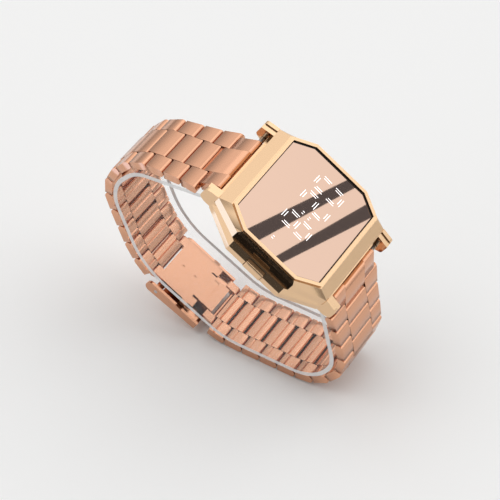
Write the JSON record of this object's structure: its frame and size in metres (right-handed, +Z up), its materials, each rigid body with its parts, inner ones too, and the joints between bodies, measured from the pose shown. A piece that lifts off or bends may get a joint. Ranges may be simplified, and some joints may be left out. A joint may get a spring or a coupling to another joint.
{
  "type": "digital wristwatch",
  "caption": "Digital wristwatch: faceted eight-sided head with a mirror display, folded-link bracelet with fold-over clasp, closed round a clear display cuff.",
  "frame": {"origin": "centre of the overall box, at the height of the surface that the bracelet stands on", "axes": "+X to the 3 o'clock side along the hinge pins, +Y towards the 12 o'clock strap side, +Z up; the dial looks up and is tilted 32.2 degrees about X"},
  "size_m": [0.0354, 0.0624, 0.0527],
  "materials": {
    "case_gold": "polished, pale gold plated",
    "mirror_glass": "mirror coated",
    "dark_film": "matt",
    "display_body": "matt",
    "lit_segments": "lit",
    "board": "satin",
    "moulding": "matt",
    "plain_steel": "brushed",
    "seal_rubber": "matt",
    "strap_rose": "brushed across, rose gold plated",
    "clear_plastic": "clear"
  },
  "bodies": {
    "head": {"case_middle": "case_gold", "bezel": "case_gold", "crystal": "mirror_glass", "display_mask": "dark_film", "led_display": "display_body", "led_segments": "lit_segments", "circuit_board": "board", "module_holder": "moulding", "battery": "plain_steel", "battery_clip": "plain_steel", "case_gasket": "seal_rubber", "case_back": "plain_steel", "case_back_screws": "plain_steel", "button_seals": "seal_rubber", "spring_bar_12": "plain_steel", "spring_bar_6": "plain_steel"},
    "button_right": {"button_right": "case_gold"},
    "button_left": {"button_left": "case_gold"},
    "end_link_12": {"end_link_12": "strap_rose"},
    "link_12_01": {"link_12_01": "strap_rose"},
    "link_12_02": {"link_12_02": "strap_rose"},
    "link_12_03": {"link_12_03": "strap_rose"},
    "link_12_04": {"link_12_04": "strap_rose"},
    "link_12_05": {"link_12_05": "strap_rose"},
    "link_12_06": {"link_12_06": "strap_rose"},
    "link_12_07": {"link_12_07": "strap_rose"},
    "link_12_08": {"link_12_08": "strap_rose"},
    "link_12_09": {"link_12_09": "strap_rose"},
    "link_12_10": {"link_12_10": "strap_rose"},
    "link_12_11": {"link_12_11": "strap_rose"},
    "link_12_12": {"link_12_12": "strap_rose"},
    "clasp_plate": {"clasp_plate": "strap_rose", "clasp_tongue": "strap_rose"},
    "end_link_6": {"end_link_6": "strap_rose"},
    "link_6_01": {"link_6_01": "strap_rose"},
    "link_6_02": {"link_6_02": "strap_rose"},
    "link_6_03": {"link_6_03": "strap_rose"},
    "link_6_04": {"link_6_04": "strap_rose"},
    "link_6_05": {"link_6_05": "strap_rose"},
    "link_6_06": {"link_6_06": "strap_rose"},
    "link_6_07": {"link_6_07": "strap_rose"},
    "link_6_08": {"link_6_08": "strap_rose"},
    "link_6_09": {"link_6_09": "strap_rose"},
    "link_6_10": {"link_6_10": "strap_rose"},
    "link_6_11": {"link_6_11": "strap_rose"},
    "link_6_12": {"link_6_12": "strap_rose"},
    "clasp_cover": {"clasp_cover": "strap_rose", "cover_pin": "plain_steel"},
    "display_cuff": {"display_cuff": "clear_plastic"}
  },
  "joints": [
    {"name": "clasp_cover_hinge", "type": "hinge", "parent": "clasp_plate", "child": "clasp_cover", "pos_m": [0, 0.01844, 0.008], "axis": [1, 0, 0], "range_deg": [0, 105]},
    {"name": "button_right_press", "type": "slide", "parent": "head", "child": "button_right", "axis": [-1, 0, 0], "range_m": [0, 0.0006], "stiffness_N_per_m": 1500},
    {"name": "button_left_press", "type": "slide", "parent": "head", "child": "button_left", "axis": [1, 0, 0], "range_m": [0, 0.0006], "stiffness_N_per_m": 1500},
    {"name": "cuff_slide", "type": "slide", "parent": "head", "child": "display_cuff", "axis": [-1, 0, 0], "range_m": [0, 0.026]},
    {"name": "strap_12_spring_bar", "type": "hinge", "parent": "head", "child": "end_link_12", "pos_m": [0, 0.00115, 0.0493], "axis": [1, 0, 0], "range_deg": [0, 36.8]},
    {"name": "strap_6_spring_bar", "type": "hinge", "parent": "head", "child": "end_link_6", "pos_m": [0, -0.02713, 0.03153], "axis": [-1, 0, 0], "range_deg": [0, 44.5]},
    {"name": "strap_12_hinge_01", "type": "hinge", "parent": "end_link_12", "child": "link_12_01", "pos_m": [0, 0.00656, 0.04768], "axis": [1, 0, 0], "range_deg": [0, 3.5]},
    {"name": "strap_12_hinge_02", "type": "hinge", "parent": "link_12_01", "child": "link_12_02", "pos_m": [0, 0.01118, 0.04718], "axis": [1, 0, 0], "range_deg": [0, 3.5]},
    {"name": "strap_12_hinge_03", "type": "hinge", "parent": "link_12_02", "child": "link_12_03", "pos_m": [0, 0.01581, 0.04673], "axis": [1, 0, 0], "range_deg": [0, 3.5]},
    {"name": "strap_12_hinge_04", "type": "hinge", "parent": "link_12_03", "child": "link_12_04", "pos_m": [0, 0.02043, 0.04623], "axis": [1, 0, 0], "range_deg": [0, 18.9]},
    {"name": "strap_12_hinge_05", "type": "hinge", "parent": "link_12_04", "child": "link_12_05", "pos_m": [0, 0.02465, 0.04426], "axis": [1, 0, 0], "range_deg": [0, 21.6]},
    {"name": "strap_12_hinge_06", "type": "hinge", "parent": "link_12_05", "child": "link_12_06", "pos_m": [0, 0.02784, 0.04088], "axis": [1, 0, 0], "range_deg": [0, 17.3]},
    {"name": "strap_12_hinge_07", "type": "hinge", "parent": "link_12_06", "child": "link_12_07", "pos_m": [0, 0.02988, 0.0367], "axis": [1, 0, 0], "range_deg": [0, 22.7]},
    {"name": "strap_12_hinge_08", "type": "hinge", "parent": "link_12_07", "child": "link_12_08", "pos_m": [0, 0.03015, 0.03206], "axis": [1, 0, 0], "range_deg": [0, 20.4]},
    {"name": "strap_12_hinge_09", "type": "hinge", "parent": "link_12_08", "child": "link_12_09", "pos_m": [0, 0.02878, 0.02761], "axis": [1, 0, 0], "range_deg": [0, 3.5]},
    {"name": "strap_12_hinge_10", "type": "hinge", "parent": "link_12_09", "child": "link_12_10", "pos_m": [0, 0.02714, 0.02326], "axis": [1, 0, 0], "range_deg": [0, 3.5]},
    {"name": "strap_12_hinge_11", "type": "hinge", "parent": "link_12_10", "child": "link_12_11", "pos_m": [0, 0.02549, 0.01892], "axis": [1, 0, 0], "range_deg": [0, 8.3]},
    {"name": "strap_12_hinge_12", "type": "hinge", "parent": "link_12_11", "child": "link_12_12", "pos_m": [0, 0.02322, 0.01485], "axis": [1, 0, 0], "range_deg": [0, 12.1]},
    {"name": "strap_12_hinge_13", "type": "hinge", "parent": "link_12_12", "child": "clasp_plate", "pos_m": [0, 0.02016, 0.01136], "axis": [1, 0, 0], "range_deg": [0, 17.8]},
    {"name": "strap_6_hinge_01", "type": "hinge", "parent": "end_link_6", "child": "link_6_01", "pos_m": [0, -0.02735, 0.02589], "axis": [-1, 0, 0], "range_deg": [0, 3.5]},
    {"name": "strap_6_hinge_02", "type": "hinge", "parent": "link_6_01", "child": "link_6_02", "pos_m": [0, -0.02831, 0.02134], "axis": [-1, 0, 0], "range_deg": [0, 3.5]},
    {"name": "strap_6_hinge_03", "type": "hinge", "parent": "link_6_02", "child": "link_6_03", "pos_m": [0, -0.02931, 0.0168], "axis": [-1, 0, 0], "range_deg": [0, 3.5]},
    {"name": "strap_6_hinge_04", "type": "hinge", "parent": "link_6_03", "child": "link_6_04", "pos_m": [0, -0.03007, 0.01221], "axis": [-1, 0, 0], "range_deg": [0, 24.2]},
    {"name": "strap_6_hinge_05", "type": "hinge", "parent": "link_6_04", "child": "link_6_05", "pos_m": [0, -0.02888, 0.00771], "axis": [-1, 0, 0], "range_deg": [0, 23.8]},
    {"name": "strap_6_hinge_06", "type": "hinge", "parent": "link_6_05", "child": "link_6_06", "pos_m": [0, -0.02598, 0.00408], "axis": [-1, 0, 0], "range_deg": [0, 21.4]},
    {"name": "strap_6_hinge_07", "type": "hinge", "parent": "link_6_06", "child": "link_6_07", "pos_m": [0, -0.02195, 0.00176], "axis": [-1, 0, 0], "range_deg": [0, 21.6]},
    {"name": "strap_6_hinge_08", "type": "hinge", "parent": "link_6_07", "child": "link_6_08", "pos_m": [0, -0.01735, 0.00109], "axis": [-1, 0, 0], "range_deg": [0, 8.3]},
    {"name": "strap_6_hinge_09", "type": "hinge", "parent": "link_6_08", "child": "link_6_09", "pos_m": [0, -0.0127, 0.00109], "axis": [-1, 0, 0], "range_deg": [0, 3.5]},
    {"name": "strap_6_hinge_10", "type": "hinge", "parent": "link_6_09", "child": "link_6_10", "pos_m": [0, -0.00805, 0.00109], "axis": [-1, 0, 0], "range_deg": [0, 3.5]},
    {"name": "strap_6_hinge_11", "type": "hinge", "parent": "link_6_10", "child": "link_6_11", "pos_m": [0, -0.0034, 0.00109], "axis": [-1, 0, 0], "range_deg": [0, 3.5]},
    {"name": "strap_6_hinge_12", "type": "hinge", "parent": "link_6_11", "child": "link_6_12", "pos_m": [0, 0.00124, 0.00137], "axis": [-1, 0, 0], "range_deg": [0, 13.2]}
  ]
}
